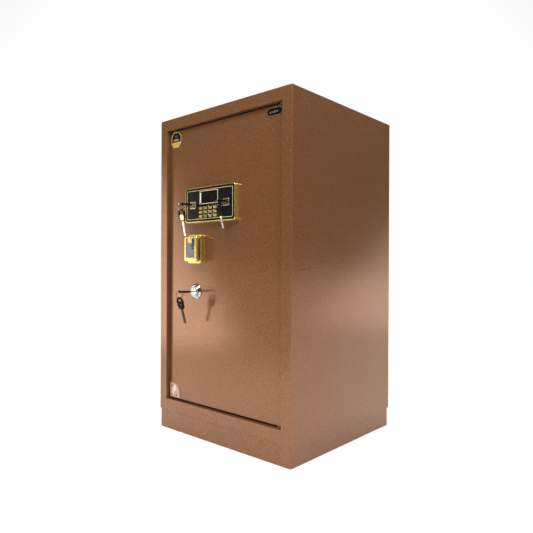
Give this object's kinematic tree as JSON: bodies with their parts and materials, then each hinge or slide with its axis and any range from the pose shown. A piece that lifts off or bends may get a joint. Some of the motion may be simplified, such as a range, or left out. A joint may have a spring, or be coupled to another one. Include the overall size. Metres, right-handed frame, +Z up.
{
  "type": "in room safe",
  "caption": "Free-standing electronic safe on a plinth: inset door with keypad, two keypad locks, main key lock, turning handle, sliding boltwork and a shelved inside.",
  "frame": {"origin": "middle of the plinth's footprint, on the floor", "axes": "+Z up, the door faces -Y, +X to the right of someone facing the door, on the hinge side"},
  "size_m": [0.443, 0.4676, 0.8],
  "materials": {
    "brown_paint": "hammertone powder coat",
    "inner_paint": "satin powder coat",
    "steel": "bright zinc plate",
    "chrome": "polished",
    "gold": "polished gold plate",
    "black_plastic": "satin",
    "gloss_black": "gloss",
    "display_glass": "tinted, gloss",
    "board": "lacquered circuit board",
    "key_shell": "moulded bow over a plated blade",
    "plate_shield": "gold and black enamel",
    "plate_oval": "black enamel with a bronze rim",
    "plate_corner": "satin foil"
  },
  "bodies": {
    "cabinet": {"outer_shell": "brown_paint", "base_panel": "brown_paint", "back_panel": "brown_paint", "front_frame": "brown_paint", "plinth": "brown_paint", "inner_liner": "inner_paint", "shelf": "inner_paint", "shelf_pegs": "steel", "hinge_pins": "steel"},
    "door": {"door_panel": "brown_paint", "hinge_blocks": "steel", "door_box": "inner_paint", "door_cover": "inner_paint", "cover_screws": "steel", "hinge_side_dowels": "steel", "bolt_guides": "steel", "carriage_studs": "steel", "solenoid": "steel", "battery_box": "black_plastic", "keypad_bezel": "gold", "keypad_fascia": "gloss_black", "display_window": "display_glass", "keypad_board": "board", "lock_surrounds": "gold", "panel_lock_bodies": "steel", "main_lock_escutcheon": "chrome", "main_lock_body": "steel", "handle_base": "gold", "badge_shield": "plate_shield", "badge_oval": "plate_oval", "badge_corner": "plate_corner"},
    "boltwork": {"bolt_carriage": "steel", "locking_bolts": "steel"},
    "plunger": {"solenoid_plunger": "steel"},
    "handle": {"handle_knob": "gold", "handle_spindle": "steel"},
    "main_plug": {"main_lock_plug": "chrome"},
    "main_key": {"main_key": "key_shell"},
    "main_ring": {"main_key_ring": "chrome"},
    "main_spare": {"main_spare_key": "key_shell"},
    "left_plug": {"left_lock_plug": "chrome"},
    "left_key": {"left_key": "key_shell"},
    "left_ring": {"left_key_ring": "chrome"},
    "left_spare": {"left_spare_key": "key_shell"},
    "right_plug": {"right_lock_plug": "chrome"},
    "right_key": {"right_key": "key_shell"},
    "right_ring": {"right_key_ring": "chrome"},
    "right_spare": {"right_spare_key": "key_shell"},
    "key_1": {"button_1": "gold"},
    "key_2": {"button_2": "gold"},
    "key_3": {"button_3": "gold"},
    "key_clear": {"button_clear": "gold"},
    "key_4": {"button_4": "gold"},
    "key_5": {"button_5": "gold"},
    "key_6": {"button_6": "gold"},
    "key_0": {"button_0": "gold"},
    "key_7": {"button_7": "gold"},
    "key_8": {"button_8": "gold"},
    "key_9": {"button_9": "gold"},
    "key_enter": {"button_enter": "gold"}
  },
  "joints": [
    {"name": "door_hinge", "type": "hinge", "parent": "cabinet", "child": "door", "pos_m": [0.1795, -0.1885, 0.0795], "axis": [0, 0, 1], "range_deg": [0, 100]},
    {"name": "handle_turn", "type": "hinge", "parent": "door", "child": "handle", "pos_m": [-0.0818, -0.197, 0.4627], "axis": [0, 1, 0], "range_deg": [0, 90]},
    {"name": "bolt_throw", "type": "slide", "parent": "door", "child": "boltwork", "axis": [-1, 0, 0], "range_m": [0, 0.0198]},
    {"name": "plunger_drop", "type": "slide", "parent": "door", "child": "plunger", "axis": [0, 0, -1], "range_m": [0, 0.008], "stiffness_N_per_m": 200, "springref_m": -0.004},
    {"name": "main_lock_turn", "type": "hinge", "parent": "door", "child": "main_plug", "pos_m": [-0.0887, -0.2054, 0.3583], "axis": [0, 1, 0], "range_deg": [0, 90]},
    {"name": "main_key_pull", "type": "slide", "parent": "main_plug", "child": "main_key", "axis": [0, -1, 0], "range_m": [0, 0.022]},
    {"name": "main_ring_swing", "type": "hinge", "parent": "main_key", "child": "main_ring", "pos_m": [-0.0887, -0.2499, 0.3615], "axis": [0, 1, 0], "range_deg": [-30, 30]},
    {"name": "main_spare_swing", "type": "hinge", "parent": "main_ring", "child": "main_spare", "pos_m": [-0.0887, -0.2499, 0.3415], "axis": [0, 1, 0], "range_deg": [-60, 60]},
    {"name": "left_lock_turn", "type": "hinge", "parent": "door", "child": "left_plug", "pos_m": [-0.088, -0.21, 0.57], "axis": [0, 1, 0], "range_deg": [0, 90]},
    {"name": "left_key_pull", "type": "slide", "parent": "left_plug", "child": "left_key", "axis": [0, -1, 0], "range_m": [0, 0.03]},
    {"name": "left_ring_swing", "type": "hinge", "parent": "left_key", "child": "left_ring", "pos_m": [-0.088, -0.2459, 0.5732], "axis": [0, 1, 0], "range_deg": [-30, 30]},
    {"name": "left_spare_swing", "type": "hinge", "parent": "left_ring", "child": "left_spare", "pos_m": [-0.088, -0.2459, 0.5532], "axis": [0, 1, 0], "range_deg": [-60, 60]},
    {"name": "right_lock_turn", "type": "hinge", "parent": "door", "child": "right_plug", "pos_m": [0.0285, -0.21, 0.57], "axis": [0, 1, 0], "range_deg": [0, 90]},
    {"name": "right_key_pull", "type": "slide", "parent": "right_plug", "child": "right_key", "axis": [0, -1, 0], "range_m": [0, 0.026]},
    {"name": "right_ring_swing", "type": "hinge", "parent": "right_key", "child": "right_ring", "pos_m": [0.0305, -0.2339, 0.5732], "axis": [0, 1, 0], "range_deg": [-30, 30]},
    {"name": "right_spare_swing", "type": "hinge", "parent": "right_ring", "child": "right_spare", "pos_m": [0.0305, -0.2339, 0.5532], "axis": [0, 1, 0], "range_deg": [-60, 60]},
    {"name": "press_1", "type": "slide", "parent": "door", "child": "key_1", "axis": [0, 1, 0], "range_m": [0, 0.0012], "stiffness_N_per_m": 400, "springref_m": -0.0006},
    {"name": "press_2", "type": "slide", "parent": "door", "child": "key_2", "axis": [0, 1, 0], "range_m": [0, 0.0012], "stiffness_N_per_m": 400, "springref_m": -0.0006},
    {"name": "press_3", "type": "slide", "parent": "door", "child": "key_3", "axis": [0, 1, 0], "range_m": [0, 0.0012], "stiffness_N_per_m": 400, "springref_m": -0.0006},
    {"name": "press_clear", "type": "slide", "parent": "door", "child": "key_clear", "axis": [0, 1, 0], "range_m": [0, 0.0012], "stiffness_N_per_m": 400, "springref_m": -0.0006},
    {"name": "press_4", "type": "slide", "parent": "door", "child": "key_4", "axis": [0, 1, 0], "range_m": [0, 0.0012], "stiffness_N_per_m": 400, "springref_m": -0.0006},
    {"name": "press_5", "type": "slide", "parent": "door", "child": "key_5", "axis": [0, 1, 0], "range_m": [0, 0.0012], "stiffness_N_per_m": 400, "springref_m": -0.0006},
    {"name": "press_6", "type": "slide", "parent": "door", "child": "key_6", "axis": [0, 1, 0], "range_m": [0, 0.0012], "stiffness_N_per_m": 400, "springref_m": -0.0006},
    {"name": "press_0", "type": "slide", "parent": "door", "child": "key_0", "axis": [0, 1, 0], "range_m": [0, 0.0012], "stiffness_N_per_m": 400, "springref_m": -0.0006},
    {"name": "press_7", "type": "slide", "parent": "door", "child": "key_7", "axis": [0, 1, 0], "range_m": [0, 0.0012], "stiffness_N_per_m": 400, "springref_m": -0.0006},
    {"name": "press_8", "type": "slide", "parent": "door", "child": "key_8", "axis": [0, 1, 0], "range_m": [0, 0.0012], "stiffness_N_per_m": 400, "springref_m": -0.0006},
    {"name": "press_9", "type": "slide", "parent": "door", "child": "key_9", "axis": [0, 1, 0], "range_m": [0, 0.0012], "stiffness_N_per_m": 400, "springref_m": -0.0006},
    {"name": "press_enter", "type": "slide", "parent": "door", "child": "key_enter", "axis": [0, 1, 0], "range_m": [0, 0.0012], "stiffness_N_per_m": 400, "springref_m": -0.0006}
  ],
  "couplings": [
    {"joint": "bolt_throw", "follows": "handle_turn", "m_per_rad": 0.0126}
  ]
}
